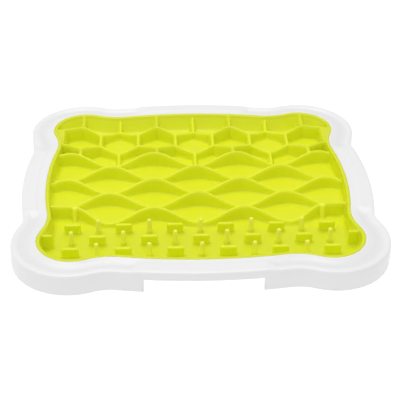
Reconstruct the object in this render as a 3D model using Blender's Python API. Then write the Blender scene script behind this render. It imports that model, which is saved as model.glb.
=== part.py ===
"""Lick mat with tray.

A moulded elastomer lick mat with a honeycomb, wave walls, blades and pins lies in a rigid plastic tray.
The tray is one moulded shell: a floor, a well wall, a rim that dips round the corners, and a skirt with
a finger notch in each side.  Metres, +Z up, origin on the ground under the middle of the tray.
"""

import math

import bmesh
import bpy
import numpy as np
from mathutils import Matrix, Vector

MM = 0.001

# Outline: bowed sides, bulging corners, and a hollow arc between them.  From the well's edge inwards it is
# a little narrower between the +X and -X sides.
SIDE_APEX = (139.3 * MM, 124.9 * MM)
SIDE_BOW_RADIUS = (262 * MM, 420 * MM)
CORNER_CENTRE = (96 * MM, 81.2 * MM)
CORNER_RADIUS = 44 * MM
HOLLOW_RADIUS = (24 * MM, 34 * MM)
WELL_INSET = 14 * MM
WELL_SCALE_X = 0.985
BOW_STEPS = 5
HOLLOW_STEPS = 3
CORNER_STEPS = 8

# Tray section, walked from the floor's edge up the well wall, over the rim, down the skirt and back
# underneath.  Each row: millimetres in from the outline, and the height at a corner and on the raised
# platform in the middle of a side.
TRAY_SECTION = (
    {"inset": 17.8, "corner": 1.8, "platform": 1.8},
    {"inset": 16.2, "corner": 17.0, "platform": 17.0},
    {"inset": 14.0, "corner": 16.0, "platform": 16.9},
    {"inset": 10.8, "corner": 14.3, "platform": 17.5},
    {"inset": 6.4, "corner": 14.3, "platform": 17.5},
    {"inset": 3.8, "corner": 15.8, "platform": 17.5},
    {"inset": 1.8, "corner": 16.6, "platform": 17.5},
    {"inset": 0.1, "corner": 16.1, "platform": 17.0},
    {"inset": -0.5, "corner": 14.6, "platform": 15.4},
    {"inset": -0.8, "corner": 0.0, "platform": 0.0},
    {"inset": 1.3, "corner": 0.0, "platform": 0.0},
    {"inset": 1.9, "corner": 13.6, "platform": 15.0},
    {"inset": 6.0, "corner": 12.3, "platform": 15.4},
    {"inset": 11.2, "corner": 12.3, "platform": 15.4},
    {"inset": 14.6, "corner": 13.2, "platform": 14.4},
    {"inset": 15.7, "corner": 0.0, "platform": 0.0},
)
PLATFORM_HALF_LENGTH = 45 * MM
PLATFORM_RAMP = 9 * MM
NOTCH_HALF_WIDTH = 43 * MM
NOTCH_TOP = 10.6 * MM
NOTCH_DEPTH = 13 * MM
NOTCH_OVERSHOOT = 6 * MM

# Mat section, from its underside's edge up its side, over the lip and down to its floor.  Each row:
# millimetres in from the outline where the border faces +X or -X, the same where it faces +Y or -Y and
# slopes, and the height.
MAT_SECTION = (
    {"side": 18.1, "end": 18.1, "height": 2.1},
    {"side": 16.6, "end": 16.6, "height": 15.4},
    {"side": 16.7, "end": 16.7, "height": 16.7},
    {"side": 17.6, "end": 17.6, "height": 17.2},
    {"side": 18.7, "end": 18.7, "height": 17.0},
    {"side": 19.2, "end": 19.8, "height": 15.6},
    {"side": 19.5, "end": 22.6, "height": 10.6},
    {"side": 20.0, "end": 25.4, "height": 6.0},
    {"side": 21.6, "end": 28.2, "height": 4.0},
)
SLOPE_FROM = 0.2
SLOPE_TO = 0.42
FRONT_HOLLOW_SLOPE = 1.9
BORDER_MIDDLE = 17.9 * MM
BORDER_LEAN = 1.8 * MM
BORDER_TRIES = 6

# Walls that stand on the mat's floor
WALL_FOOT = 3.2 * MM
FOOT_HALF_WIDTH = 2.6 * MM
TOP_HALF_WIDTH = 1.15 * MM
CREST_TOP = 16.3 * MM

# Honeycomb: regular cells, whose walls are tall at every second column and low between them.
CELL_PITCH = 32.3 * MM
CELL_SIDE = CELL_PITCH / math.sqrt(3)
CELL_ROW_Y = 68.4 * MM
HONEYCOMB_LOW_TOP = 10.8 * MM
CELL_COLUMNS = 3
END_WALL_SLOPE = 0.24
STUB_BORDER_TOP = 15.4 * MM
END_FILL_STEPS = 4
END_FILL_INSET = 0.9 * MM

# Wave walls.  Each row: where the wave's crests lie and how high, what the wave does where x is 0, and
# how much lower a crest is and how far it stands back at the reach.
WAVE_LENGTH = 70 * MM
WAVE_SWING = 9.2 * MM
WAVE_LOW_TOP = 8.1 * MM
WAVE_STEP = 7 * MM
WAVE_REACH = 105 * MM
WAVES = (
    {"crest_y": 42.8 * MM, "top": 16.3 * MM, "middle": "trough", "sag": 0.8 * MM, "back": 1.2 * MM},
    {"crest_y": 21.1 * MM, "top": 16.3 * MM, "middle": "crest", "sag": 1.8 * MM, "back": 2.7 * MM},
    {"crest_y": 1.6 * MM, "top": 16.3 * MM, "middle": "trough", "sag": 2.5 * MM, "back": 3.7 * MM},
    {"crest_y": -18.7 * MM, "top": 16.3 * MM, "middle": "crest", "sag": 2.8 * MM, "back": 4.2 * MM},
    {"crest_y": -38.3 * MM, "top": 15.3 * MM, "middle": "trough", "sag": 0.2 * MM, "back": 3.0 * MM},
)
LAST_SWING = 10.7 * MM
LAST_TROUGH_X = WAVE_LENGTH
LAST_CREST_X = 98 * MM
POST_X = 96.6 * MM
POST_RADIUS = 1.7 * MM
POST_FORWARD = 1.2 * MM
POST_LEAN = 3.6 * MM

# Field of blades and pins in a chequer.  Each row: where it lies, and its first blade's column.
STUD_PITCH = 19.4 * MM
STUD_FOOT = 3.2 * MM
BLADE_WIDTH = 12.6 * MM
BLADE_THICKNESS = 3.0 * MM
BLADE_TOP = 12.6 * MM
BLADE_BORDER_GAP = 1.4 * MM
END_BLADE_TOP = 16.0 * MM
END_BLADE_FORWARD = 2.8 * MM
PIN_FOOT_RADIUS = 2.1 * MM
PIN_TIP_RADIUS = 1.7 * MM
PIN_TOP = 16.8 * MM
PIN_SIDES = 8
STUD_ROWS = (
    {"y": -57 * MM, "first_blade": 1, "columns": 5},
    {"y": -72 * MM, "first_blade": 0, "columns": 6},
    {"y": -87 * MM, "first_blade": 1, "columns": 5},
)


# ---------------------------------------------------------------- scene helpers

def clear_scene():
    for old in list(bpy.data.objects):
        bpy.data.objects.remove(old, do_unlink=True)


def new_collection(name):
    collection = bpy.data.collections.new(name)
    bpy.context.scene.collection.children.link(collection)
    return collection


def plain_material(name, color, roughness):
    material = bpy.data.materials.new(name)
    material.use_nodes = True
    shader = material.node_tree.nodes["Principled BSDF"]
    shader.inputs["Base Color"].default_value = (*color, 1.0)
    shader.inputs["Roughness"].default_value = roughness
    shader.inputs["Metallic"].default_value = 0.0
    return material


def object_from(bm, name, collection):
    bmesh.ops.recalc_face_normals(bm, faces=bm.faces)
    mesh = bpy.data.meshes.new(name)
    bm.to_mesh(mesh)
    bm.free()
    mesh.shade_smooth()
    mesh.set_sharp_from_angle(angle=math.radians(40))
    obj = bpy.data.objects.new(name, mesh)
    collection.objects.link(obj)
    return obj


def hide_as_guide(obj):
    obj.hide_render = True
    obj.display_type = "WIRE"


def loft(bm, rings):
    """Skin between closed rings of equal length, with a face across the first and the last."""
    loops = [[bm.verts.new(point) for point in ring] for ring in rings]
    count = len(loops[0])
    for lower, upper in zip(loops, loops[1:]):
        for index in range(count):
            following = (index + 1) % count
            bm.faces.new((lower[index], lower[following], upper[following], upper[index]))
    bm.faces.new(loops[0][::-1])
    bm.faces.new(loops[-1])


# ---------------------------------------------------------------- outline of tray and mat

def hollow_centre(bow_centre, bow_radius, axis):
    """Centre of the hollow arc that touches a bowed side and the corner from outside."""
    start = Vector(bow_centre)
    step = Vector(CORNER_CENTRE) - start
    reach_bow = bow_radius + HOLLOW_RADIUS[axis]
    reach_corner = CORNER_RADIUS + HOLLOW_RADIUS[axis]
    along = (step.length_squared + reach_bow ** 2 - reach_corner ** 2) / (2 * step.length)
    across = math.sqrt(reach_bow ** 2 - along ** 2)
    ahead = step.normalized()
    aside = ahead.orthogonal()
    meetings = (start + ahead * along + aside * across, start + ahead * along - aside * across)
    return max(meetings, key=lambda point: point[axis])


def bearing(start, end):
    return math.atan2(end[1] - start[1], end[0] - start[0])


def quarter_arcs():
    """Centre, radius, side, first and last angle and steps of one quarter's arcs, from +X to +Y."""
    bow_x = (SIDE_APEX[0] - SIDE_BOW_RADIUS[0], 0.0)
    bow_y = (0.0, SIDE_APEX[1] - SIDE_BOW_RADIUS[1])
    corner = CORNER_CENTRE
    hollow_x = hollow_centre(bow_x, SIDE_BOW_RADIUS[0], 0)
    hollow_y = hollow_centre(bow_y, SIDE_BOW_RADIUS[1], 1)
    bow_x_end = bearing(bow_x, hollow_x)
    bow_y_start = bearing(bow_y, hollow_y)
    hollow_x_turn = (bearing(hollow_x, bow_x), bearing(hollow_x, corner))
    hollow_y_turn = (bearing(hollow_y, corner), bearing(hollow_y, bow_y))
    corner_turn = (bearing(corner, hollow_x), bearing(corner, hollow_y))
    return (
        (bow_x, SIDE_BOW_RADIUS[0], 1, 0.0, bow_x_end, BOW_STEPS),
        (hollow_x, HOLLOW_RADIUS[0], -1, *hollow_x_turn, HOLLOW_STEPS),
        (corner, CORNER_RADIUS, 1, *corner_turn, CORNER_STEPS),
        (hollow_y, HOLLOW_RADIUS[1], -1, *hollow_y_turn, HOLLOW_STEPS),
        (bow_y, SIDE_BOW_RADIUS[1], 1, bow_y_start, math.pi / 2, BOW_STEPS),
    )


def arc_points(centre, radius, first, last, steps):
    turn = (last - first + math.pi) % (2 * math.pi) - math.pi
    for step in range(steps):
        angle = first + turn * step / steps
        yield centre[0] + radius * math.cos(angle), centre[1] + radius * math.sin(angle)


def outline(inset):
    """The closed outline moved in by inset; every inset gives the same number of points."""
    quarter = []
    for centre, radius, side, first, last, steps in quarter_arcs():
        quarter += arc_points(centre, radius - side * inset, first, last, steps)
    quarter = quarter[1:]
    right = (SIDE_APEX[0] - inset, 0.0)
    back = (0.0, SIDE_APEX[1] - inset)
    back_half = [right] + quarter + [back] + [(-x, y) for x, y in quarter[::-1]]
    scale = WELL_SCALE_X if inset >= WELL_INSET else 1.0
    return [(x * scale, y) for x, y in back_half + [(-x, -y) for x, y in back_half]]


def border_x(y):
    """Where the middle of the mat's border stands on the +X side, at a given y."""
    side = sorted((py, px) for px, py in outline(BORDER_MIDDLE) if px > CORNER_CENTRE[0])
    return float(np.interp(y, [point[0] for point in side], [point[1] for point in side]))


def border_y(x):
    """Where the middle of the mat's border stands at the back, at a given x."""
    back = sorted((px, py) for px, py in outline(BORDER_MIDDLE) if py > CORNER_CENTRE[1])
    return float(np.interp(x, [point[0] for point in back], [point[1] for point in back]))


# ---------------------------------------------------------------- tray

def platform_share(x, y):
    """1 on the raised middle of a side and 0 round a corner, with a soft ramp between."""
    on_side = abs(x) > CORNER_CENTRE[0]
    along = abs(y) if on_side else abs(x)
    share = (PLATFORM_HALF_LENGTH + PLATFORM_RAMP - along) / PLATFORM_RAMP
    share = min(1.0, max(0.0, share))
    return share * share * (3 - 2 * share)


def tray_ring(row):
    ring = []
    for (x, y), (outer_x, outer_y) in zip(outline(row["inset"] * MM), outline(0.0)):
        share = platform_share(outer_x, outer_y)
        height = row["corner"] * (1 - share) + row["platform"] * share
        ring.append((x, y, height * MM))
    return ring


def notch_cutter(name, quarter_turns, apex, collection):
    """A block through the lower part of the skirt, under one platform."""
    bm = bmesh.new()
    bmesh.ops.create_cube(bm, size=1.0)
    size = (2 * NOTCH_HALF_WIDTH, NOTCH_DEPTH + NOTCH_OVERSHOOT, NOTCH_TOP + NOTCH_OVERSHOOT)
    middle = (0.0, -apex + (NOTCH_DEPTH - NOTCH_OVERSHOOT) / 2, (NOTCH_TOP - NOTCH_OVERSHOOT) / 2)
    bmesh.ops.scale(bm, vec=size, verts=bm.verts)
    bmesh.ops.translate(bm, vec=middle, verts=bm.verts)
    turn = Matrix.Rotation(quarter_turns * math.pi / 2, 3, "Z")
    bmesh.ops.rotate(bm, cent=(0, 0, 0), matrix=turn, verts=bm.verts)
    cutter = object_from(bm, name, collection)
    hide_as_guide(cutter)
    return cutter


def make_tray(parts, cutters):
    bm = bmesh.new()
    loft(bm, [tray_ring(row) for row in TRAY_SECTION])
    tray = object_from(bm, "tray", parts)
    tray.data.materials.append(plain_material("white_plastic", (0.86, 0.86, 0.85), 0.35))
    sides = ("front", "right", "back", "left")
    for quarter_turns, side in enumerate(sides):
        apex = SIDE_APEX[1 - quarter_turns % 2]
        cut = tray.modifiers.new("notch_" + side, "BOOLEAN")
        cut.operation = "DIFFERENCE"
        cut.solver = "EXACT"
        cut.object = notch_cutter("notch_cutter_" + side, quarter_turns, apex, cutters)
    return tray


# ---------------------------------------------------------------- walls on the mat

def add_wall(bm, path, lean_first=0.0, lean_last=0.0):
    """A wall along (x, y, top) points: upright, a little thinner at the top than at the foot.

    An end that meets the mat's border leans with it: there the foot is drawn back by the lean.
    """
    rings = []
    for index, (x, y, top) in enumerate(path):
        here = Vector((x, y))
        before = Vector(path[max(index - 1, 0)][:2])
        after = Vector(path[min(index + 1, len(path) - 1)][:2])
        arriving = (here - before) if index else (after - here)
        leaving = (after - here) if index < len(path) - 1 else arriving
        ahead = (arriving.normalized() + leaving.normalized()).normalized()
        mitre = 1 / ahead.dot(arriving.normalized())
        aside = Vector((-ahead.y, ahead.x)) * mitre
        foot = aside * FOOT_HALF_WIDTH
        crown = aside * TOP_HALF_WIDTH
        stand = here
        if index == 0:
            stand = here + ahead * lean_first
        if index == len(path) - 1:
            stand = here - ahead * lean_last
        rings.append((
            (*(stand - foot), WALL_FOOT),
            (*(stand + foot), WALL_FOOT),
            (*(here + crown), top),
            (*(here - crown), top),
        ))
    loft(bm, rings)


def add_wall_across(bm, line_y, line_top, inner_xs):
    """A wall from border to border, along y = line_y(x) with its top at line_top(x)."""
    end = inner_xs[-1]
    for _ in range(BORDER_TRIES):
        end = border_x(line_y(end))
    xs = [-end] + [x for x in inner_xs if abs(x) < end - 2 * BORDER_LEAN] + [end]
    add_wall(bm, [(x, line_y(x), line_top(x)) for x in xs], BORDER_LEAN, BORDER_LEAN)


# ---------------------------------------------------------------- honeycomb

def honeycomb_top(x):
    """Tall at every second column, low between them, and tall out to the border past the last column."""
    swing = (CREST_TOP - HONEYCOMB_LOW_TOP) / 2
    along = min(abs(x), CELL_COLUMNS * CELL_PITCH)
    return CREST_TOP - swing - swing * math.cos(math.pi * along / CELL_PITCH)


def zigzag(x):
    """0 at the middle of a cell, 1 at the walls between cells."""
    across = abs(x) % CELL_PITCH
    return min(across, CELL_PITCH - across) / (CELL_PITCH / 2)


def back_zigzag_y(x):
    past_last = abs(x) - CELL_COLUMNS * CELL_PITCH
    if past_last > 0:
        return CELL_ROW_Y + CELL_SIDE - past_last * END_WALL_SLOPE
    return CELL_ROW_Y + CELL_SIDE - zigzag(x) * CELL_SIDE / 2


def front_zigzag_y(x):
    return CELL_ROW_Y - CELL_SIDE + zigzag(x) * CELL_SIDE / 2


def add_honeycomb(bm):
    last_quarter = 4 * (CELL_COLUMNS + 1)
    quarter_pitches = [index * CELL_PITCH / 4 for index in range(-last_quarter, last_quarter + 1)]
    add_wall_across(bm, back_zigzag_y, honeycomb_top, quarter_pitches)
    add_wall_across(bm, front_zigzag_y, honeycomb_top, quarter_pitches)
    wave_y, wave_top = wave_lines(WAVES[0])
    for index in range(-CELL_COLUMNS, CELL_COLUMNS + 1):
        x = index * CELL_PITCH
        top = honeycomb_top(x)
        border_top = max(top, STUB_BORDER_TOP)
        add_wall(bm, [(x, back_zigzag_y(x), top), (x, border_y(x), border_top)], 0.0, BORDER_LEAN)
        add_wall(bm, [(x, wave_y(x), wave_top(x)), (x, front_zigzag_y(x), top)])
    for index in range(-CELL_COLUMNS, CELL_COLUMNS):
        x = (index + 0.5) * CELL_PITCH
        top = honeycomb_top(x)
        add_wall(bm, [(x, front_zigzag_y(x), top), (x, back_zigzag_y(x), top)])
    add_end_fill(bm)


def add_end_fill(bm):
    """Solid ledges between the border and the last cells, at both ends of the row of cells."""
    last_x = (CELL_COLUMNS + 0.5) * CELL_PITCH
    low = front_zigzag_y(last_x)
    high = back_zigzag_y(last_x)
    ys = [low + (high - low) * step / END_FILL_STEPS for step in range(END_FILL_STEPS + 1)]
    for mirror in (-1, 1):
        rings = []
        for half_width, height in ((FOOT_HALF_WIDTH, WALL_FOOT), (TOP_HALF_WIDTH, CREST_TOP)):
            footprint = [(border_x(y) - END_FILL_INSET, y) for y in ys]
            footprint += [(last_x - half_width, y) for y in reversed(ys)]
            rings.append([(mirror * x, y, height) for x, y in footprint])
        loft(bm, rings)


# ---------------------------------------------------------------- wave walls

def wave_lines(wave):
    """Functions of x that give the line and the top of one wave wall."""
    start = 0.0 if wave["middle"] == "crest" else math.pi
    last = wave is WAVES[-1]

    def dip(x):
        along = abs(x)
        if last and along > LAST_TROUGH_X:
            share = min(1.0, (along - LAST_TROUGH_X) / (LAST_CREST_X - LAST_TROUGH_X))
            along = LAST_TROUGH_X + share * WAVE_LENGTH / 2
        return (1 - math.cos(2 * math.pi * along / WAVE_LENGTH + start)) / 2

    def line_y(x):
        swing = LAST_SWING if last else WAVE_SWING
        return wave["crest_y"] + wave["back"] * (x / WAVE_REACH) ** 2 * (1 - dip(x)) - swing * dip(x)

    def line_top(x):
        top = wave["top"] - wave["sag"] * (x / WAVE_REACH) ** 2
        return top - (top - WAVE_LOW_TOP) * dip(x)

    return line_y, line_top


def add_waves(bm):
    steps = int(SIDE_APEX[0] / WAVE_STEP)
    xs = [index * WAVE_STEP for index in range(-steps, steps + 1)]
    for wave in WAVES:
        line_y, line_top = wave_lines(wave)
        add_wall_across(bm, line_y, line_top, xs)
    last_y, last_top = wave_lines(WAVES[-1])
    for x in (-POST_X, POST_X):
        top = last_top(x) - 0.2 * MM
        add_stud_cone(bm, x, last_y(x) - POST_FORWARD, POST_RADIUS, POST_RADIUS, top, POST_LEAN)


# ---------------------------------------------------------------- blades and pins

def add_stud_cone(bm, x, y, foot_radius, tip_radius, top, lean=0.0):
    """A round stud, whose foot stands forward of its top by the lean."""
    height = top - STUD_FOOT
    slant = Matrix.Identity(4)
    slant[1][2] = lean / height
    place = Matrix.Translation((x, y - lean / 2, STUD_FOOT + height / 2)) @ slant
    bmesh.ops.create_cone(
        bm, cap_ends=True, segments=PIN_SIDES,
        radius1=foot_radius, radius2=tip_radius, depth=height, matrix=place,
    )


def add_blade(bm, x, y, top):
    """An upright blade, cut short where it meets the mat's border."""
    reach = border_x(y) - BLADE_BORDER_GAP
    left = max(x - BLADE_WIDTH / 2, -reach)
    right = min(x + BLADE_WIDTH / 2, reach)
    height = top - STUD_FOOT
    place = Matrix.Translation(((left + right) / 2, y, STUD_FOOT + height / 2))
    size = Matrix.Diagonal((right - left, BLADE_THICKNESS, height, 1.0))
    bmesh.ops.create_cube(bm, size=1.0, matrix=place @ size)


def add_studs(bm):
    for row in STUD_ROWS:
        for column in range(-row["columns"], row["columns"] + 1):
            x = column * STUD_PITCH
            if abs(column) == STUD_ROWS[1]["columns"]:
                add_blade(bm, x, row["y"] - END_BLADE_FORWARD, END_BLADE_TOP)
            elif abs(column) % 2 == row["first_blade"]:
                add_blade(bm, x, row["y"], BLADE_TOP)
            else:
                add_stud_cone(bm, x, row["y"], PIN_FOOT_RADIUS, PIN_TIP_RADIUS, PIN_TOP)


# ---------------------------------------------------------------- mat

def slope_shares():
    """0 where the outline faces +X or -X and 1 where it faces +Y or -Y, for every point of the outline.

    The hollows in front of the middle of both sides slope more gently still.
    """
    shares = []
    for (_, outer_y), (_, inner_y) in zip(outline(0.0), outline(MM)):
        out_y = (outer_y - inner_y) / MM
        share = min(1.0, max(0.0, (abs(out_y) - SLOPE_FROM) / (SLOPE_TO - SLOPE_FROM)))
        if outer_y < 0 < out_y:
            share *= FRONT_HOLLOW_SLOPE
        shares.append(share)
    return shares


def mat_ring(row):
    ring = []
    for side, end, share in zip(outline(row["side"] * MM), outline(row["end"] * MM), slope_shares()):
        x, y = Vector(side).lerp(Vector(end), share)
        ring.append((x, y, row["height"] * MM))
    return ring


def make_mat(parts, cutters):
    relief = bmesh.new()
    add_honeycomb(relief)
    add_waves(relief)
    add_studs(relief)
    relief_guide = object_from(relief, "relief_guide", cutters)
    hide_as_guide(relief_guide)

    pan = bmesh.new()
    loft(pan, [mat_ring(row) for row in MAT_SECTION])
    mat = object_from(pan, "mat", parts)
    mat.data.materials.append(plain_material("green_elastomer", (0.60, 0.72, 0.01), 0.5))
    join = mat.modifiers.new("relief", "BOOLEAN")
    join.operation = "UNION"
    join.solver = "EXACT"
    join.use_self = True
    join.object = relief_guide
    return mat


def main():
    clear_scene()
    parts = new_collection("lick_mat")
    cutters = new_collection("cutters")
    make_tray(parts, cutters)
    make_mat(parts, cutters)


main()
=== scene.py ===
"""Looks of the lick mat with tray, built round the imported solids.

The tray is a white moulded shell and the mat one lime elastomer moulding with a honeycomb, wave walls,
blades and pins.  Both are made here again with rounded edges and fillets.  Metres, +Z up.
"""

import math

import bpy
import numpy as np
from mathutils import Matrix, Vector


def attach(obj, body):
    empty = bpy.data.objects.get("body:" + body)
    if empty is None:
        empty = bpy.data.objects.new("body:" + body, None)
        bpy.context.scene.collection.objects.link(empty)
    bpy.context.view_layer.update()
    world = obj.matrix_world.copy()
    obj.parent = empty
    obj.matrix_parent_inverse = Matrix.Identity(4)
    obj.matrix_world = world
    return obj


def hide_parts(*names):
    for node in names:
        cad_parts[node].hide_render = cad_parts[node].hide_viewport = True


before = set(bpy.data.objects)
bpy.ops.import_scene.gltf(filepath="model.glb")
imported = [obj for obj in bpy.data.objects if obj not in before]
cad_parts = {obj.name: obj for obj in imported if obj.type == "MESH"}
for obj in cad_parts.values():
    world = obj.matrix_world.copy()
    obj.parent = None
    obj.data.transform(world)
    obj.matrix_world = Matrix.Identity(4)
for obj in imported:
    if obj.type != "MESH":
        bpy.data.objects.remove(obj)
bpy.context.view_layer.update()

MM = 0.001

# Outline: bowed sides, bulging corners, and a hollow arc between them.  From the well's edge inwards it
# is a little narrower between the +X and -X sides.
SIDE_APEX = (139.3 * MM, 124.9 * MM)
SIDE_BOW_RADIUS = (262 * MM, 420 * MM)
CORNER_CENTRE = (96 * MM, 81.2 * MM)
CORNER_RADIUS = 44 * MM
HOLLOW_RADIUS = (24 * MM, 34 * MM)
WELL_INSET = 14 * MM
WELL_SCALE_X = 0.985
WELL_GLIDE = 1 * MM
BOW_STEPS = 26
HOLLOW_STEPS = 16
CORNER_STEPS = 44

# Tray section, from the floor's edge up the well wall, over the rim, down the skirt and back underneath.
# Each row: millimetres in from the outline and height at a corner, the same two on the raised platform
# in the middle of a side, and the radius that rounds it.
TRAY_SECTION = (
    {"corner": (17.8, 1.8), "platform": (17.8, 1.8), "radius": 0.5},
    {"corner": (16.3, 17.0), "platform": (16.3, 17.0), "radius": 0.3},
    {"corner": (15.0, 17.0), "platform": (15.0, 17.0), "radius": 0.8},
    {"corner": (13.4, 16.1), "platform": (13.9, 16.9), "radius": 1.5},
    {"corner": (10.8, 15.0), "platform": (12.0, 17.0), "radius": 3.0},
    {"corner": (8.6, 14.7), "platform": (10.6, 17.5), "radius": 2.0},
    {"corner": (6.2, 14.9), "platform": (6.4, 17.5), "radius": 3.0},
    {"corner": (3.9, 16.0), "platform": (3.9, 17.5), "radius": 2.0},
    {"corner": (1.8, 16.6), "platform": (1.8, 17.5), "radius": 1.6},
    {"corner": (0.0, 16.2), "platform": (0.0, 17.1), "radius": 1.0},
    {"corner": (-0.5, 14.6), "platform": (-0.5, 15.4), "radius": 0.8},
    {"corner": (1.9, 13.6), "platform": (1.9, 15.0), "radius": 0.8},
    {"corner": (6.0, 12.3), "platform": (6.0, 15.3), "radius": 1.5},
    {"corner": (11.0, 12.3), "platform": (11.0, 15.3), "radius": 1.5},
    {"corner": (14.6, 13.2), "platform": (14.6, 14.4), "radius": 1.0},
    {"corner": (15.7, 0.0), "platform": (15.7, 0.0), "radius": 0.5},
)
SKIRT_TOP_ROW = 10
SKIRT_OUTER_FOOT = -0.8
SKIRT_INNER_FOOT = 1.3
SKIRT_INNER_TOP = 1.9
SKIRT_EDGE_RADIUS = 0.45
PLATFORM_HALF_LENGTH = 45 * MM
PLATFORM_RAMP = 8 * MM

# Finger notch in the skirt under each platform: its top in millimetres, its rounded corner, how far along
# that corner the outline has columns, and a hair past its half width.
NOTCH_HALF_WIDTH = 43 * MM
NOTCH_TOP = 10.6
NOTCH_CORNER = 1.0 * MM
NOTCH_SHARES = (0.0, 0.3, 0.55, 0.75, 0.9, 0.97, 1.0, 1.04)
NOTCH_HAIR = 1.0005

# Rounding of a section's corners: points on each, the least tangent of half a corner's angle that is
# reckoned with, and the most of an edge that one corner may use up.
ROUND_STEPS = 4
ROUND_LEAST_TANGENT = 0.05
ROUND_MOST_OF_EDGE = 0.48

# Mat section, from the middle of its underside over the lip to the middle of its floor.  Each row:
# millimetres in from the outline and height where the border faces +X or -X, the same two where it faces
# +Y or -Y and slopes, and the radius.
MAT_SECTION = (
    {"side": (18.1, 2.1), "end": (18.1, 2.1), "radius": 0.3},
    {"side": (16.5, 15.4), "end": (16.5, 15.4), "radius": 1.0},
    {"side": (16.05, 17.15), "end": (16.05, 17.15), "radius": 0.4},
    {"side": (19.2, 17.25), "end": (18.9, 17.25), "radius": 1.2},
    {"side": (19.5, 10.6), "end": (22.4, 10.8), "radius": 4.0},
    {"side": (19.9, 5.4), "end": (25.6, 5.6), "radius": 2.0},
    {"side": (22.4, 4.0), "end": (28.6, 4.0), "radius": 3.0},
)
MAT_FLOOR = 4.0 * MM

# Slope of the mat's border: how far the outline has to face +Y or -Y for the slope to start and to be
# full.  The hollows beside the front corners slope more gently, and get there later.
SLOPE_FROM = 0.2
SLOPE_TO = 0.42
FRONT_HOLLOW_SLOPE = 1.9
FRONT_HOLLOW_TO = 0.62

# Where walls end in the middle of the border, and how far it leans over its height.
BORDER_MIDDLE = 17.9 * MM
BORDER_LEAN = 1.8 * MM
BORDER_TRIES = 6

# Wall section, from the floor to the top, in millimetres: half thickness, and height over the floor or
# below the top.
WALL_FOOT = (
    {"half": 3.3, "over_floor": -0.8},
    {"half": 3.0, "over_floor": 0.0},
    {"half": 2.75, "over_floor": 0.25},
    {"half": 2.6, "over_floor": 0.7},
)
WALL_CROWN = (
    {"half": 2.25, "below_top": 6.5},
    {"half": 2.05, "below_top": 4.6},
    {"half": 1.82, "below_top": 3.1},
    {"half": 1.55, "below_top": 1.9},
    {"half": 1.24, "below_top": 1.05},
    {"half": 0.90, "below_top": 0.5},
    {"half": 0.55, "below_top": 0.15},
    {"half": 0.20, "below_top": 0.0},
)
CREST_TOP = 16.3 * MM

# Honeycomb: regular cells, whose walls are tall at every second column and low between them.
CELL_PITCH = 32.3 * MM
CELL_SIDE = CELL_PITCH / math.sqrt(3)
CELL_ROW_Y = 68.4 * MM
HONEYCOMB_LOW_TOP = 10.8 * MM
CELL_COLUMNS = 3
CELL_WALL_PARTS = 12
END_WALL_SLOPE = 0.24
STUB_BORDER_TOP = 15.4 * MM
END_FILL_FOOT = MAT_FLOOR - 1 * MM
END_FILL_STEPS = 10

# Wave walls, from back to front.  Each row: where the wave's crests lie and how high, what the wave does
# where x is 0, and how much lower a crest is and how far it stands back at the reach.
WAVE_LENGTH = 70 * MM
WAVE_SWING = 9.2 * MM
WAVE_LOW_TOP = 8.1 * MM
WAVE_STEP = 1.75 * MM
WAVE_REACH = 105 * MM
WAVES = (
    {"crest_y": 42.8 * MM, "top": 16.3 * MM, "middle": "trough", "sag": 0.8 * MM, "back": 1.2 * MM},
    {"crest_y": 21.1 * MM, "top": 16.3 * MM, "middle": "crest", "sag": 1.8 * MM, "back": 2.7 * MM},
    {"crest_y": 1.6 * MM, "top": 16.3 * MM, "middle": "trough", "sag": 2.5 * MM, "back": 3.7 * MM},
    {"crest_y": -18.7 * MM, "top": 16.3 * MM, "middle": "crest", "sag": 2.8 * MM, "back": 4.2 * MM},
    {"crest_y": -38.3 * MM, "top": 15.3 * MM, "middle": "trough", "sag": 0.2 * MM, "back": 3.0 * MM},
)

# The last wave swings wider, and its outermost half waves are shorter.  Two posts lean against it.
LAST_SWING = 10.7 * MM
LAST_TROUGH_X = WAVE_LENGTH
LAST_CREST_X = 98 * MM
POST_X = 96.6 * MM
POST_RADIUS = 1.7 * MM
POST_UNDER_WAVE = 0.2 * MM
POST_FORWARD = 1.2 * MM
POST_LEAN = 3.6 * MM

# Stud section, from the floor to the tip, in millimetres: how far it is outside the foot's radius and its
# height over the floor, then its share of the tip's radius and its height below the top.
STUD_FOOT = (
    {"outside": 1.3, "over_floor": -0.8},
    {"outside": 0.9, "over_floor": 0.0},
    {"outside": 0.35, "over_floor": 0.3},
    {"outside": 0.0, "over_floor": 1.0},
)
STUD_TIP = (
    {"share": 1.0, "below_top": 0.9},
    {"share": 0.88, "below_top": 0.42},
    {"share": 0.62, "below_top": 0.12},
    {"share": 0.25, "below_top": 0.0},
)
STUD_SIDES = 24

# Field of blades and pins in a chequer.  Each row: where it lies, its first blade's column, and how many
# columns it has on either side.  The blades of the outermost columns stand at the border and are taller.
STUD_PITCH = 19.4 * MM
BLADE_WIDTH = 12.6 * MM
BLADE_THICKNESS = 3.0 * MM
BLADE_HALF_FLAT = 0.35 * MM
BLADE_TOP = 12.6 * MM
BLADE_BORDER_GAP = 1.4 * MM
END_BLADE_TOP = 16.0 * MM
END_BLADE_FORWARD = 2.8 * MM
END_COLUMN = 6
PIN_FOOT_RADIUS = 2.1 * MM
PIN_TIP_RADIUS = 1.75 * MM
PIN_TOP = 16.8 * MM
STUD_ROWS = (
    {"y": -57 * MM, "first_blade": 1, "columns": 5},
    {"y": -72 * MM, "first_blade": 0, "columns": END_COLUMN},
    {"y": -87 * MM, "first_blade": 1, "columns": 5},
)

# The mat's parts are made one skin on a grid of small cubes, then smoothed and thinned out.
MAT_VOXEL = 0.6 * MM
MAT_SMOOTHING = 0.5
MAT_SMOOTHINGS = 3
MAT_TRIANGLES = 180000

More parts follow.
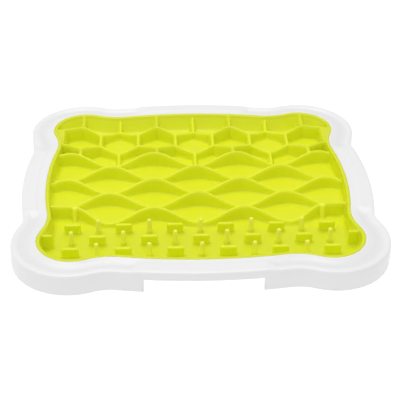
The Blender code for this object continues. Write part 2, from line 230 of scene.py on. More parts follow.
# Elastomer: its colours, among them painted shade and painted glow, then the limits along the mat's axes
# between which each colour comes in, then its clouding, grain, gloss and the glow of light inside it.
LIME_DEEP = (0.800, 0.855, 0.010, 1.0)
LIME_LIGHT = (0.835, 0.885, 0.018, 1.0)
# Painted shade on the floor in front, between the studs.
LIME_FRONT_FLOOR_SHADED = (0.745, 0.800, 0.012, 1.0)
# Painted shade on the tops of the walls and the lip, which catch the most light.
LIME_CROWN_SHADED = (0.735, 0.790, 0.012, 1.0)
# Painted glow: the posts are painted paler where light shines through them.
LIME_POST_PAINTED_GLOW = (0.950, 0.990, 0.050, 1.0)
# Painted glow and painted highlight on the pins, which are painted paler and whiter.
LIME_PIN_PAINTED_GLOW = (0.960, 1.000, 0.120, 1.0)
STUD_FIELD_BACK = -50 * MM
FRONT_FLOOR_PAINTED_SHADE_Y = (STUD_FIELD_BACK - 14 * MM, STUD_FIELD_BACK + 6 * MM)
FRONT_FLOOR_PAINTED_SHADE_Z = (MAT_FLOOR + 0.6 * MM, MAT_FLOOR + 2.5 * MM)
CROWN_PAINTED_SHADE_Z = (14.2 * MM, 16.2 * MM)
POST_GLOW_RADIUS = (POST_RADIUS - 0.2 * MM, POST_RADIUS + 0.6 * MM)
POST_GLOW_FRONT_Y = (STUD_FIELD_BACK, STUD_FIELD_BACK + 1 * MM)
POST_GLOW_BACK_Y = (STUD_FIELD_BACK + 13 * MM, STUD_FIELD_BACK + 14 * MM)
POST_GLOW_Z = (MAT_FLOOR + 1 * MM, MAT_FLOOR + 2 * MM)
PIN_GLOW_FRONT_Y = (STUD_ROWS[2]["y"] - 6 * MM, STUD_ROWS[2]["y"] - 4 * MM)
PIN_GLOW_BACK_Y = (STUD_FIELD_BACK - 3 * MM, STUD_FIELD_BACK)
PIN_GLOW_LEFT_X = (-5.4 * STUD_PITCH, -5.3 * STUD_PITCH)
PIN_GLOW_RIGHT_X = (5.3 * STUD_PITCH, 5.4 * STUD_PITCH)
PIN_GLOW_CHEQUER = (0.5, 0.75)
PIN_GLOW_Z = (MAT_FLOOR + 1 * MM, MAT_FLOOR + 4 * MM)
LIME_CLOUDS = {"scale": 38.0, "detail": 3.0}
LIME_GRAIN = {"scale": 2600.0, "detail": 2.0}
LIME_ROUGHNESS = 0.34
LIME_ROUGHNESS_SWING = 0.12
LIME_BUMP = 0.12
LIME_IOR = 1.43
LIME_GLOW = 0.6
LIME_GLOW_RADIUS = (1.0, 1.0, 0.25)
LIME_GLOW_SCALE = 0.0025

# Plastic: its colours, among them painted shade for the groove and the skirt, then the limits for how far
# the surface faces up and for the height of the groove, then its clouding, grain and gloss.
WHITE_COOL = (0.885, 0.885, 0.885, 1.0)
WHITE_WARM = (0.905, 0.905, 0.905, 1.0)
# Painted shade in the groove round the corners.
WHITE_GROOVE_SHADED = (0.820, 0.820, 0.820, 1.0)
# Painted shade on the upright skirt, which gets less light than the top.
WHITE_SKIRT_SHADED = (0.850, 0.850, 0.850, 1.0)
GROOVE_SHADE_FACES_UP = (0.5, 0.8)
GROOVE_SHADE_Z = (14.3 * MM, 15.9 * MM)
SKIRT_SHADE_FACES_UP = (0.1, 0.4)
WHITE_CLOUDS = {"scale": 22.0, "detail": 2.0}
WHITE_GRAIN = {"scale": 1800.0, "detail": 2.0}
WHITE_ROUGHNESS = 0.30
WHITE_ROUGHNESS_SWING = 0.10
WHITE_BUMP = 0.06
WHITE_IOR = 1.49

GRAIN_DEPTH = 0.0002

# Stage: floor, world, light and camera, in metres, watts and millimetres of lens.
FLOOR_HALF = 3.0
FLOOR_DROP = 0.0002
FLOOR_GREY = (0.25, 0.25, 0.25, 1.0)
FLOOR_ROUGHNESS = 0.9
FLOOR_GLOW = 0.90
WHITE_LIGHT = (1.0, 1.0, 1.0, 1.0)
WORLD_STRENGTH = 0.58
LIGHT_PLACE = (-0.20, 0.12, 1.6)
LIGHT_SIZE = (1.6, 1.0)
LIGHT_POWER = 12.9
CAMERA_PLACE = (-0.0324, -0.6496, 0.4293)
CAMERA_PITCH = math.radians(33.70)
CAMERA_YAW = math.radians(-3.07)
CAMERA_ROLL = math.radians(-0.94)
CAMERA_SENSOR = 36.0
CAMERA_LENS = 85.7
CAMERA_NEAR = 0.01
CAMERA_FAR = 20.0


def clamped(share):
    """The share, held between 0 and 1."""
    return min(1.0, max(0.0, share))


# ---------------------------------------------------------------- meshes

class Shell:
    """Collects closed skins, then turns them into one mesh piece."""

    def __init__(self):
        self.points = []
        self.faces = []

    def loft(self, rings):
        """Skin between closed rings of equal length, with a face across the first and the last."""
        start = len(self.points)
        count = len(rings[0])
        for ring in rings:
            self.points.extend(tuple(point) for point in ring)
        for level in range(len(rings) - 1):
            low = start + level * count
            for index in range(count):
                here = low + index
                following = low + (index + 1) % count
                self.faces.append((here, following, count + following, count + here))
        last = start + (len(rings) - 1) * count
        self.faces.append(tuple(range(start + count - 1, start - 1, -1)))
        self.faces.append(tuple(range(last, last + count)))

    def piece(self, name):
        """A mesh object of all the skins."""
        mesh = bpy.data.meshes.new(name)
        mesh.from_pydata(self.points, [], self.faces)
        mesh.validate()
        mesh.update()
        return add_object(name, mesh)


def add_object(name, data):
    """A new object in the scene."""
    obj = bpy.data.objects.new(name, data)
    bpy.context.scene.collection.objects.link(obj)
    return obj


def apply_modifiers(obj):
    """Bake a piece's modifiers into its mesh."""
    graph = bpy.context.evaluated_depsgraph_get()
    mesh = bpy.data.meshes.new_from_object(obj.evaluated_get(graph))
    obj.modifiers.clear()
    obj.data = mesh


# ---------------------------------------------------------------- outline of tray and mat

def hollow_centre(bow_centre, bow_radius, axis):
    """Centre of the hollow arc that touches a bowed side and the corner from outside."""
    start = Vector(bow_centre)
    step = Vector(CORNER_CENTRE) - start
    reach_bow = bow_radius + HOLLOW_RADIUS[axis]
    reach_corner = CORNER_RADIUS + HOLLOW_RADIUS[axis]
    along = (step.length_squared + reach_bow ** 2 - reach_corner ** 2) / (2 * step.length)
    across = math.sqrt(reach_bow ** 2 - along ** 2)
    ahead = step.normalized()
    aside = ahead.orthogonal()
    meetings = (start + ahead * along + aside * across, start + ahead * along - aside * across)
    return max(meetings, key=lambda point: point[axis])


def bearing(start, end):
    """Direction from one point to another, as a turn from +X."""
    return math.atan2(end[1] - start[1], end[0] - start[0])


def even_turns(first, last, steps):
    """Even steps of a turn the short way round, without the last."""
    turn = (last - first + math.pi) % (2 * math.pi) - math.pi
    return [first + turn * step / steps for step in range(steps)]


def notch_places():
    """Distances from a side's middle where a notch's corner needs its own columns."""
    inner = NOTCH_HALF_WIDTH - NOTCH_CORNER
    return [inner + NOTCH_CORNER * share for share in NOTCH_SHARES]


def bow_turns(radius, end_turn, middle_turn):
    """Turns along a bowed side from its middle, with the notch's columns among the even ones."""
    span = abs(end_turn - middle_turn)
    turns = [span * step / BOW_STEPS for step in range(BOW_STEPS)]
    notch = [math.asin(place / radius) for place in notch_places()]
    gap = span / BOW_STEPS / 2
    turns = [turn for turn in turns if turn == 0 or min(abs(turn - other) for other in notch) > gap]
    return sorted(turns + notch)


def quarter_columns():
    """Points and outward directions of the outline's first quarter, from +X to +Y."""
    bow_x = (SIDE_APEX[0] - SIDE_BOW_RADIUS[0], 0.0)
    bow_y = (0.0, SIDE_APEX[1] - SIDE_BOW_RADIUS[1])
    corner = CORNER_CENTRE
    hollow_x = hollow_centre(bow_x, SIDE_BOW_RADIUS[0], 0)
    hollow_y = hollow_centre(bow_y, SIDE_BOW_RADIUS[1], 1)
    bow_x_end = bearing(bow_x, hollow_x)
    bow_y_start = bearing(bow_y, hollow_y)
    quarter_turn = math.pi / 2
    first_side = bow_turns(SIDE_BOW_RADIUS[0], bow_x_end, 0.0)
    last_side = bow_turns(SIDE_BOW_RADIUS[1], bow_y_start, quarter_turn)
    last_side = [quarter_turn - turn for turn in reversed(last_side)]
    arcs = (
        (bow_x, SIDE_BOW_RADIUS[0], 1, first_side),
        (hollow_x, HOLLOW_RADIUS[0], -1,
         even_turns(bearing(hollow_x, bow_x), bearing(hollow_x, corner), HOLLOW_STEPS)),
        (corner, CORNER_RADIUS, 1,
         even_turns(bearing(corner, hollow_x), bearing(corner, hollow_y), CORNER_STEPS)),
        (hollow_y, HOLLOW_RADIUS[1], -1,
         even_turns(bearing(hollow_y, corner), bearing(hollow_y, bow_y), HOLLOW_STEPS)),
        (bow_y, SIDE_BOW_RADIUS[1], 1, [bow_y_start] + last_side),
    )
    columns = []
    for centre, radius, side, turns in arcs:
        for turn in turns:
            out = (side * math.cos(turn), side * math.sin(turn))
            point = (centre[0] + radius * math.cos(turn), centre[1] + radius * math.sin(turn))
            columns.append((point, out))
    return columns


def outline_columns():
    """Points and outward directions all round, counter-clockwise from the middle of the +X side."""
    quarter = quarter_columns()
    left = [((-x, y), (-out_x, out_y)) for (x, y), (out_x, out_y) in reversed(quarter[1:-1])]
    half = quarter + left
    half.append(((-quarter[0][0][0], 0.0), (-1.0, 0.0)))
    front = [((-x, -y), (-out_x, -out_y)) for (x, y), (out_x, out_y) in half[1:-1]]
    return half + front


COLUMNS = outline_columns()


def scale_x(inset):
    """1 on the rim and outside it, gliding to the narrower scale at the well's edge."""
    return 1.0 + (WELL_SCALE_X - 1.0) * clamped((inset - WELL_INSET) / WELL_GLIDE + 0.5)


def inside(column, inset, height):
    """The point that lies a distance in from a column of the outline, at a height."""
    (x, y), (out_x, out_y) = column
    return (x - out_x * inset) * scale_x(inset), y - out_y * inset, height


def border_line():
    """Plan of the middle of the mat's border."""
    return [inside(column, BORDER_MIDDLE, 0.0)[:2] for column in COLUMNS]


def border_x(y):
    """Where the middle of the mat's border stands on the +X side, at a given y."""
    side = sorted((py, px) for px, py in border_line() if px > CORNER_CENTRE[0])
    return float(np.interp(y, [point[0] for point in side], [point[1] for point in side]))


def border_y(x):
    """Where the middle of the mat's border stands at the back, at a given x."""
    back = sorted((px, py) for px, py in border_line() if py > CORNER_CENTRE[1])
    return float(np.interp(x, [point[0] for point in back], [point[1] for point in back]))


def rounded(profile):
    """A profile of (across, up, radius) corners with every corner turned into a short arc."""
    points = []
    corners = [Vector(corner[:2]) for corner in profile]
    for index, corner in enumerate(corners):
        before = corners[index - 1] - corner
        after = corners[(index + 1) % len(corners)] - corner
        half_angle = before.angle(after) / 2
        reach = profile[index][2] / max(math.tan(half_angle), ROUND_LEAST_TANGENT)
        reach = min(reach, before.length * ROUND_MOST_OF_EDGE, after.length * ROUND_MOST_OF_EDGE)
        first = corner + before.normalized() * reach
        last = corner + after.normalized() * reach
        for step in range(ROUND_STEPS + 1):
            share = step / ROUND_STEPS
            points.append(first.lerp(corner, share).lerp(corner.lerp(last, share), share))
    return points


# ---------------------------------------------------------------- tray

def along_side(x, y):
    """Distance of an outline point from the middle of its side."""
    past_x = abs(x) - CORNER_CENTRE[0]
    past_y = abs(y) - CORNER_CENTRE[1]
    return abs(y) if past_x > 0 and past_x > past_y else abs(x)


def platform_share(x, y):
    """1 on the raised middle of a side and 0 round a corner, with a soft ramp between."""
    share = clamped((PLATFORM_HALF_LENGTH + PLATFORM_RAMP - along_side(x, y)) / PLATFORM_RAMP)
    return share * share * (3 - 2 * share)


def skirt_foot(x, y):
    """Height of the skirt's lower edge in millimetres: 0, and the notch's top under a platform."""
    along = along_side(x, y)
    straight = NOTCH_HALF_WIDTH - NOTCH_CORNER
    if along > NOTCH_HALF_WIDTH * NOTCH_HAIR:
        return 0.0
    if along <= straight:
        return NOTCH_TOP
    share = min(1.0, (along - straight) / NOTCH_CORNER)
    return NOTCH_TOP - NOTCH_CORNER / MM * (1 - math.sqrt(1 - share * share))


def tray_profile(share, foot):
    """The tray's section with its corners, at one place of the outline."""
    profile = []
    for index, row in enumerate(TRAY_SECTION):
        pairs = zip(row["corner"], row["platform"])
        inset, height = (low * (1 - share) + high * share for low, high in pairs)
        profile.append((inset, height, row["radius"]))
        if index == SKIRT_TOP_ROW:
            depth = (height - foot) / height
            profile.append((inset + (SKIRT_OUTER_FOOT - inset) * depth, foot, SKIRT_EDGE_RADIUS))
            under = SKIRT_INNER_TOP + (SKIRT_INNER_FOOT - SKIRT_INNER_TOP) * depth
            profile.append((under, foot, SKIRT_EDGE_RADIUS))
    return profile


def make_tray():
    """The tray: one skin whose section follows the outline."""
    sections = []
    for column in COLUMNS:
        place = column[0]
        points = rounded(tray_profile(platform_share(*place), skirt_foot(*place)))
        sections.append([inside(column, inset * MM, height * MM) for inset, height in points])
    shell = Shell()
    shell.loft(list(zip(*sections)))
    return shell.piece("tray_shell")


# ---------------------------------------------------------------- walls on the mat

def wall_section(top):
    """Half thickness and height pairs up one side of a wall of a given top, in metres."""
    section = [(row["half"] * MM, MAT_FLOOR + row["over_floor"] * MM) for row in WALL_FOOT]
    last_half, last_height = section[-1]
    for row in WALL_CROWN:
        height = top - row["below_top"] * MM
        section.append((row["half"] * MM, height) if height > last_height else (last_half, last_height))
    return section


def add_wall(shell, path, lean_first=0.0, lean_last=0.0):
    """A wall along (x, y, top) points, with fillets at its feet and a rounded crown.

    An end that meets the mat's border leans with it: there the foot is drawn back by the lean.
    """
    rings = []
    for index, (x, y, top) in enumerate(path):
        here = Vector((x, y))
        before = Vector(path[max(index - 1, 0)][:2])
        after = Vector(path[min(index + 1, len(path) - 1)][:2])
        arriving = (here - before) if index else (after - here)
        leaving = (after - here) if index < len(path) - 1 else arriving
        ahead = (arriving.normalized() + leaving.normalized()).normalized()
        mitre = 1 / ahead.dot(arriving.normalized())
        aside = Vector((-ahead.y, ahead.x)) * mitre
        lean = lean_first * (index == 0) - lean_last * (index == len(path) - 1)
        side = []
        other = []
        for half, height in wall_section(top):
            stand = here + ahead * lean * (top - height) / (top - MAT_FLOOR)
            side.append((*(stand + aside * half), height))
            other.append((*(stand - aside * half), height))
        rings.append(side + other[::-1])
    shell.loft(rings)


def add_wall_across(shell, line_y, line_top, inner_xs):
    """A wall from border to border, along y = line_y(x) with its top at line_top(x)."""
    end = inner_xs[-1]
    for _ in range(BORDER_TRIES):
        end = border_x(line_y(end))
    xs = [-end] + [x for x in inner_xs if abs(x) < end - 2 * BORDER_LEAN] + [end]
    add_wall(shell, [(x, line_y(x), line_top(x)) for x in xs], BORDER_LEAN, BORDER_LEAN)


def add_cell_wall(shell, start, end, lean_last=0.0):
    """A straight wall between two (x, y, top) ends, its top gliding from one to the other."""
    path = []
    for part in range(CELL_WALL_PARTS + 1):
        share = part / CELL_WALL_PARTS
        path.append(tuple(a + (b - a) * share for a, b in zip(start, end)))
    add_wall(shell, path, 0.0, lean_last)


# ---------------------------------------------------------------- honeycomb

def honeycomb_top(x):
    """Tall at every second column, low between them, and tall out to the border past the last column."""
    swing = (CREST_TOP - HONEYCOMB_LOW_TOP) / 2
    along = min(abs(x), CELL_COLUMNS * CELL_PITCH)
    return CREST_TOP - swing - swing * math.cos(math.pi * along / CELL_PITCH)


def zigzag(x):
    """0 at the middle of a cell, 1 at the walls between cells."""
    across = abs(x) % CELL_PITCH
    return min(across, CELL_PITCH - across) / (CELL_PITCH / 2)


def back_zigzag_y(x):
    """Line of the wall behind the cells, which runs on to the border past the last cell."""
    past_last = abs(x) - CELL_COLUMNS * CELL_PITCH
    if past_last > 0:
        return CELL_ROW_Y + CELL_SIDE - past_last * END_WALL_SLOPE
    return CELL_ROW_Y + CELL_SIDE - zigzag(x) * CELL_SIDE / 2


def front_zigzag_y(x):
    """Line of the wall before the cells."""
    return CELL_ROW_Y - CELL_SIDE + zigzag(x) * CELL_SIDE / 2


def add_honeycomb(shell):
    """The row of cells, with the half cells behind and before it."""
    parts = CELL_WALL_PARTS
    last = parts * (CELL_COLUMNS + 1)
    xs = [index * CELL_PITCH / parts for index in range(-last, last + 1)]
    add_wall_across(shell, back_zigzag_y, honeycomb_top, xs)
    add_wall_across(shell, front_zigzag_y, honeycomb_top, xs)
    wave_y, wave_top = wave_lines(WAVES[0])
    for index in range(-CELL_COLUMNS, CELL_COLUMNS + 1):
        x = index * CELL_PITCH
        top = honeycomb_top(x)
        border_top = max(top, STUB_BORDER_TOP)
        add_cell_wall(shell, (x, back_zigzag_y(x), top), (x, border_y(x), border_top), BORDER_LEAN)
        add_cell_wall(shell, (x, wave_y(x), wave_top(x)), (x, front_zigzag_y(x), top))
    for index in range(-CELL_COLUMNS - 1, CELL_COLUMNS + 1):
        x = (index + 0.5) * CELL_PITCH
        top = honeycomb_top(x)
        add_cell_wall(shell, (x, front_zigzag_y(x), top), (x, back_zigzag_y(x), top))
    add_end_fill(shell)


def add_end_fill(shell):
    """Solid ledges between the border and the last upright wall, at both ends of the row of cells."""
    last_x = (CELL_COLUMNS + 0.5) * CELL_PITCH
    low = front_zigzag_y(last_x)
    high = back_zigzag_y(last_x)
    ys = [low + (high - low) * step / END_FILL_STEPS for step in range(END_FILL_STEPS + 1)]
    plan = [(border_x(y), y) for y in ys] + [(last_x, y) for y in reversed(ys)]
    for mirror in (-1, 1):
        shell.loft([[(mirror * x, y, height) for x, y in plan] for height in (END_FILL_FOOT, CREST_TOP)])


# ---------------------------------------------------------------- wave walls

def wave_lines(wave):
    """Functions of x that give the line and the top of one wave wall."""
    start = 0.0 if wave["middle"] == "crest" else math.pi
    last = wave is WAVES[-1]

    def dip(x):
        """0 at a crest and 1 in a trough."""
        along = abs(x)
        if last and along > LAST_TROUGH_X:
            share = min(1.0, (along - LAST_TROUGH_X) / (LAST_CREST_X - LAST_TROUGH_X))
            along = LAST_TROUGH_X + share * WAVE_LENGTH / 2
        if wave["middle"] == "crest":
            along = min(along, WAVE_REACH)
        return (1 - math.cos(2 * math.pi * along / WAVE_LENGTH + start)) / 2

    def line_y(x):
        swing = LAST_SWING if last else WAVE_SWING
        return wave["crest_y"] + wave["back"] * (x / WAVE_REACH) ** 2 * (1 - dip(x)) - swing * dip(x)

    def line_top(x):
        top = wave["top"] - wave["sag"] * (x / WAVE_REACH) ** 2
        return top - (top - WAVE_LOW_TOP) * dip(x)

    return line_y, line_top


def add_waves(shell):
    """The wave walls, and the two posts at the last one."""
    steps = int(SIDE_APEX[0] / WAVE_STEP)
    xs = [index * WAVE_STEP for index in range(-steps, steps + 1)]
    for wave in WAVES:
        line_y, line_top = wave_lines(wave)
        add_wall_across(shell, line_y, line_top, xs)
    last_y, last_top = wave_lines(WAVES[-1])
    for x in (-POST_X, POST_X):
        top = last_top(x) - POST_UNDER_WAVE
        add_stud(shell, x, last_y(x) - POST_FORWARD, (0, 0), POST_RADIUS, POST_RADIUS, top, POST_LEAN)


# ---------------------------------------------------------------- blades and pins

def add_stud(shell, x, y, spread, foot_radius, tip_radius, top, lean=0.0):
    """A stud with a fillet at its foot and a domed top: its round corners are spread apart into a blade.

    The foot of a leaning stud stands forward of its top by the lean.
    """
    levels = [(foot_radius + row["outside"] * MM, MAT_FLOOR + row["over_floor"] * MM) for row in STUD_FOOT]
    levels += [(tip_radius * row["share"], top - row["below_top"] * MM) for row in STUD_TIP]
    rings = []
    for radius, height in levels:
        ring = []
        forward = lean * (top - height) / (top - MAT_FLOOR)
        for side in range(STUD_SIDES):
            turn = 2 * math.pi * (side + 0.5) / STUD_SIDES
            shift_x = math.copysign(spread[0], math.cos(turn))
            shift_y = math.copysign(spread[1], math.sin(turn))
            ring.append((
                x + shift_x + radius * math.cos(turn),
                y - forward + shift_y + radius * math.sin(turn),
                height,
            ))
        rings.append(ring)
    shell.loft(rings)


def add_blade(shell, x, y, top):
    """An upright blade, cut short where it meets the mat's border."""
    corner = BLADE_THICKNESS / 2 - BLADE_HALF_FLAT
    reach = border_x(y) - BLADE_BORDER_GAP
    left = max(x - BLADE_WIDTH / 2, -reach)
    right = min(x + BLADE_WIDTH / 2, reach)
    spread = ((right - left) / 2 - corner, BLADE_THICKNESS / 2 - corner)
    add_stud(shell, (left + right) / 2, y, spread, corner, corner, top)


def add_studs(shell):
    """The chequer of blades and pins."""
    for row in STUD_ROWS:
        for column in range(-row["columns"], row["columns"] + 1):
            x = column * STUD_PITCH
            if abs(column) == END_COLUMN:
                add_blade(shell, x, row["y"] - END_BLADE_FORWARD, END_BLADE_TOP)
            elif abs(column) % 2 == row["first_blade"]:
                add_blade(shell, x, row["y"], BLADE_TOP)
            else:
                add_stud(shell, x, row["y"], (0, 0), PIN_FOOT_RADIUS, PIN_TIP_RADIUS, PIN_TOP)


# ---------------------------------------------------------------- mat

def mat_profile(facing):
    """The mat's section with its corners rounded, without the halves of its first and last corner."""
    points = rounded([(*row[facing], row["radius"]) for row in MAT_SECTION])
    return points[ROUND_STEPS // 2:-ROUND_STEPS // 2]


def border_slope(column):
    """0 where the border is nearly upright, 1 where it slopes, and more in the hollows in front."""
    (_, y), (_, out_y) = column
    if y < 0 < out_y:
        return FRONT_HOLLOW_SLOPE * clamped((out_y - SLOPE_FROM) / (FRONT_HOLLOW_TO - SLOPE_FROM))
    return clamped((abs(out_y) - SLOPE_FROM) / (SLOPE_TO - SLOPE_FROM))


def make_mat():
    """The mat: pan, walls and studs made into one skin."""
    shell = Shell()
    rings = []
    for side, end in zip(mat_profile("side"), mat_profile("end")):
        ring = []
        for column in COLUMNS:
            inset, height = side.lerp(end, border_slope(column)) * MM
            ring.append(inside(column, inset, height))
        rings.append(ring)
    shell.loft(rings)
    add_honeycomb(shell)
    add_waves(shell)
    add_studs(shell)
    mat = shell.piece("mat_moulding")
    remesh = mat.modifiers.new("one_skin", "REMESH")
    remesh.mode = "VOXEL"
    remesh.voxel_size = MAT_VOXEL
    remesh.adaptivity = 0.0
    smooth = mat.modifiers.new("soften", "SMOOTH")
    smooth.factor = MAT_SMOOTHING
    smooth.iterations = MAT_SMOOTHINGS
    apply_modifiers(mat)
    triangles = 2 * len(mat.data.polygons)
    thin = mat.modifiers.new("thin_out", "DECIMATE")
    thin.ratio = min(1.0, MAT_TRIANGLES / triangles)
    apply_modifiers(mat)
    return mat


# ---------------------------------------------------------------- materials

class Value:
    """A number socket of a material, with + - * that add Math nodes."""

    def __init__(self, recipe, socket):
        self.recipe = recipe
        self.socket = socket

    def _with(self, operation, first, second):
        math_node = self.recipe.node("ShaderNodeMath", {"operation": operation}, {0: first, 1: second})
        return Value(self.recipe, math_node.outputs[0])

    def __add__(self, other):
        return self._with("ADD", self, other)

    __radd__ = __add__

    def __sub__(self, other):
        return self._with("SUBTRACT", self, other)

    def __rsub__(self, other):
        return self._with("SUBTRACT", other, self)

    def __mul__(self, other):
        return self._with("MULTIPLY", self, other)

    __rmul__ = __mul__


class Recipe:
    """The nodes of one material."""

    def __init__(self, name):
        self.material = bpy.data.materials.new(name)
        self.material.use_nodes = True
        self.tree = self.material.node_tree
        self.shader = self.tree.nodes["Principled BSDF"]

    def node(self, kind, settings=None, sockets=None):
        """A node of a kind, with its settings, then the values or links of its sockets."""
        made = self.tree.nodes.new(kind)
        for name, setting in (settings or {}).items():
            setattr(made, name, setting)
        for key, value in (sockets or {}).items():
            self.set(made.inputs[key], value)
        return made

    def set(self, socket, value):
        """Link a value to a socket, or write a constant on it."""
        if isinstance(value, Value):
            value = value.socket
        if isinstance(value, bpy.types.NodeSocket):
            self.tree.links.new(value, socket)
        else:
            socket.default_value = value

    def look(self, **values):
        """Write the shader's own sockets, named with _ for a blank."""
        for name, value in values.items():
            self.set(self.shader.inputs[name.replace("_", " ")], value)
        return self.material

    def place(self):
        """Place on the piece, as a link."""
        return self.node("ShaderNodeTexCoord").outputs["Object"]

    def noise(self, scale, detail):
        """Even random noise between 0 and 1."""
        made = self.node(
            "ShaderNodeTexNoise", {"noise_dimensions": "3D"},
            {"Vector": self.place(), "Scale": scale, "Detail": detail},
        )
        return Value(self, made.outputs[0])

    def along(self, axis):
        """Distance along one of the piece's axes, in metres."""
        split = self.node("ShaderNodeSeparateXYZ", {}, {"Vector": self.place()})
        return Value(self, split.outputs[axis])

    def facing_up(self):
        """1 where the surface faces up, 0 where it is upright."""
        surface = self.node("ShaderNodeNewGeometry")
        split = self.node("ShaderNodeSeparateXYZ", {}, {"Vector": surface.outputs["Normal"]})
        return Value(self, split.outputs["Z"])

    def glide(self, value, low, high):
        """0 at the low value and 1 at the high one, with a soft passage between."""
        made = self.node(
            "ShaderNodeMapRange", {"interpolation_type": "SMOOTHSTEP"},
            {"Value": value, "From Min": low, "From Max": high},
        )
        return Value(self, made.outputs[0])

    def fade(self, value, low, high):
        """1 at the low value and 0 at the high one."""
        return 1.0 - self.glide(value, low, high)

    def absolute(self, value):
        """The value without its sign."""
        made = self.node("ShaderNodeMath", {"operation": "ABSOLUTE"}, {0: value})
        return Value(self, made.outputs[0])

    def wave(self, value, length, start=0.0):
        """1 where the value is the start, -1 half a length further on, and so on."""
        turn = (value - start) * (2 * math.pi / length)
        made = self.node("ShaderNodeMath", {"operation": "COSINE"}, {0: turn})
        return Value(self, made.outputs[0])

    def blend(self, factor, first, second):
        """A colour between two colours, as a link."""
        made = self.node("ShaderNodeMix", {"data_type": "RGBA"}, {0: factor, 6: first, 7: second})
        return made.outputs[2]

    def bump(self, height, strength):
        """Normals of a grained skin, as a link."""
        sockets = {"Height": height, "Strength": strength, "Distance": GRAIN_DEPTH}
        return self.node("ShaderNodeBump", {}, sockets).outputs[0]


def lime_elastomer():
    """Satin lime elastomer: even colour with faint clouding, and a fine moulded grain.

    The floor between the studs and the tops of the walls and the lip have painted shade.  The slender pins
    and posts, which let light through, are painted paler: a painted glow.
    """
    recipe = Recipe("lime_elastomer")
    clouds = recipe.noise(**LIME_CLOUDS)
    grain = recipe.noise(**LIME_GRAIN)
    back = recipe.along("Y")
    up = recipe.along("Z")
    across = recipe.along("X")
    # Painted shade on the floor in front, between the studs.
    front_floor_painted_shade = recipe.fade(back, *FRONT_FLOOR_PAINTED_SHADE_Y) * recipe.fade(up, *FRONT_FLOOR_PAINTED_SHADE_Z)
    # Painted shade on the tops of the walls and the lip.
    crown = recipe.glide(up, *CROWN_PAINTED_SHADE_Z)
    # Painted glow on the posts.
    post_glow = recipe.fade(recipe.absolute(recipe.absolute(across) - POST_X), *POST_GLOW_RADIUS)
    post_glow = post_glow * recipe.glide(back, *POST_GLOW_FRONT_Y) * recipe.fade(back, *POST_GLOW_BACK_Y)
    post_glow = post_glow * recipe.glide(up, *POST_GLOW_Z)
    # Painted glow and painted highlight on the pins, at the pin places of the chequer.
    chequer = recipe.wave(across, 2 * STUD_PITCH)
    chequer = chequer * recipe.wave(back, STUD_ROWS[0]["y"] - STUD_ROWS[2]["y"], STUD_ROWS[0]["y"])
    pins = recipe.fade(back, *PIN_GLOW_BACK_Y) * recipe.glide(back, *PIN_GLOW_FRONT_Y)
    pins = pins * recipe.glide(across, *PIN_GLOW_LEFT_X) * recipe.fade(across, *PIN_GLOW_RIGHT_X)
    pins = pins * recipe.glide(chequer, *PIN_GLOW_CHEQUER) * recipe.glide(up, *PIN_GLOW_Z)
    shade = recipe.blend(clouds, LIME_DEEP, LIME_LIGHT)
    shade = recipe.blend(front_floor_painted_shade, shade, LIME_FRONT_FLOOR_SHADED)
    shade = recipe.blend(crown, shade, LIME_CROWN_SHADED)
    shade = recipe.blend(post_glow, shade, LIME_POST_PAINTED_GLOW)
    shade = recipe.blend(pins, shade, LIME_PIN_PAINTED_GLOW)
    return recipe.look(
        Base_Color=shade,
        Roughness=LIME_ROUGHNESS + clouds * LIME_ROUGHNESS_SWING,
        Normal=recipe.bump(grain, LIME_BUMP),
        IOR=LIME_IOR,
        Subsurface_Weight=LIME_GLOW,
        Subsurface_Radius=LIME_GLOW_RADIUS,
        Subsurface_Scale=LIME_GLOW_SCALE,
    )


def white_plastic():
    """Semi-gloss white plastic with a barely uneven skin, and painted shade in the groove and on the skirt.
    """
    recipe = Recipe("white_plastic")
    clouds = recipe.noise(**WHITE_CLOUDS)
    grain = recipe.noise(**WHITE_GRAIN)
    facing_up = recipe.facing_up()
    # Painted shade in the groove round the corners.
    groove = recipe.glide(facing_up, *GROOVE_SHADE_FACES_UP) * recipe.fade(recipe.along("Z"), *GROOVE_SHADE_Z)
    # Painted shade on the upright skirt.
    skirt = recipe.fade(facing_up, *SKIRT_SHADE_FACES_UP)
    shade = recipe.blend(clouds, WHITE_COOL, WHITE_WARM)
    shade = recipe.blend(groove, shade, WHITE_GROOVE_SHADED)
    shade = recipe.blend(skirt, shade, WHITE_SKIRT_SHADED)
    return recipe.look(
        Base_Color=shade,
        Roughness=WHITE_ROUGHNESS + clouds * WHITE_ROUGHNESS_SWING,
        Normal=recipe.bump(grain, WHITE_BUMP),
        IOR=WHITE_IOR,
    )


# ---------------------------------------------------------------- stage

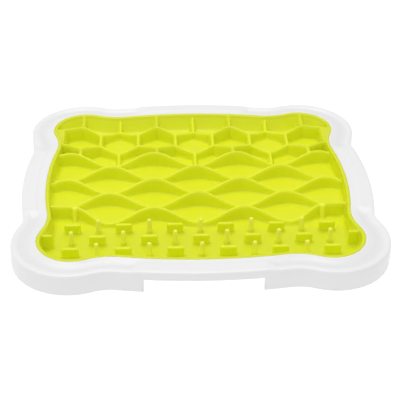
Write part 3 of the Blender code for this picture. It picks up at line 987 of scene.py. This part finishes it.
def make_floor():
    """A plain pale floor."""
    mesh = bpy.data.meshes.new("floor")
    corners = [(-1, -1), (1, -1), (1, 1), (-1, 1)]
    corners = [(FLOOR_HALF * x, FLOOR_HALF * y, -FLOOR_DROP) for x, y in corners]
    mesh.from_pydata(corners, [], [(0, 1, 2, 3)])
    recipe = Recipe("studio_floor")
    mesh.materials.append(recipe.look(
        Base_Color=FLOOR_GREY,
        Roughness=FLOOR_ROUGHNESS,
        Specular_IOR_Level=0.0,
        Emission_Color=WHITE_LIGHT,
        Emission_Strength=FLOOR_GLOW,
    ))
    add_object("floor", mesh)


def light_scene():
    """White all round, and one soft light from above."""
    world = bpy.data.worlds.new("studio")
    world.use_nodes = True
    back = world.node_tree.nodes["Background"]
    back.inputs["Color"].default_value = WHITE_LIGHT
    back.inputs["Strength"].default_value = WORLD_STRENGTH
    bpy.context.scene.world = world
    light = bpy.data.lights.new("overhead", "AREA")
    light.shape = "RECTANGLE"
    light.size, light.size_y = LIGHT_SIZE
    light.energy = LIGHT_POWER
    overhead = add_object("overhead", light)
    overhead.location = LIGHT_PLACE
    overhead.rotation_euler = (-Vector(LIGHT_PLACE)).to_track_quat("-Z", "Y").to_euler()
    bpy.context.scene.view_settings.view_transform = "Standard"


def make_camera():
    """A camera that looks down at the front of the tray."""
    level_cos = math.cos(CAMERA_PITCH)
    ahead = Vector((
        -math.sin(CAMERA_YAW) * level_cos,
        math.cos(CAMERA_YAW) * level_cos,
        -math.sin(CAMERA_PITCH),
    ))
    level = Vector((math.cos(CAMERA_YAW), math.sin(CAMERA_YAW), 0.0))
    down = ahead.cross(level)
    right = level * math.cos(CAMERA_ROLL) + down * math.sin(CAMERA_ROLL)
    below = down * math.cos(CAMERA_ROLL) - level * math.sin(CAMERA_ROLL)
    turn = Matrix((right, -below, -ahead)).transposed().to_4x4()
    data = bpy.data.cameras.new("camera")
    data.sensor_width = CAMERA_SENSOR
    data.lens = CAMERA_LENS
    data.clip_start = CAMERA_NEAR
    data.clip_end = CAMERA_FAR
    camera = add_object("camera", data)
    camera.matrix_world = Matrix.Translation(CAMERA_PLACE) @ turn
    bpy.context.scene.camera = camera


def finish_piece(piece, node, material):
    """Give a piece its material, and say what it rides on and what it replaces."""
    piece.data.materials.clear()
    piece.data.materials.append(material)
    piece.data.shade_smooth()
    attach(piece, "root")
    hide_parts(node)


finish_piece(make_tray(), "tray", white_plastic())
finish_piece(make_mat(), "mat", lime_elastomer())
make_floor()
light_scene()
make_camera()
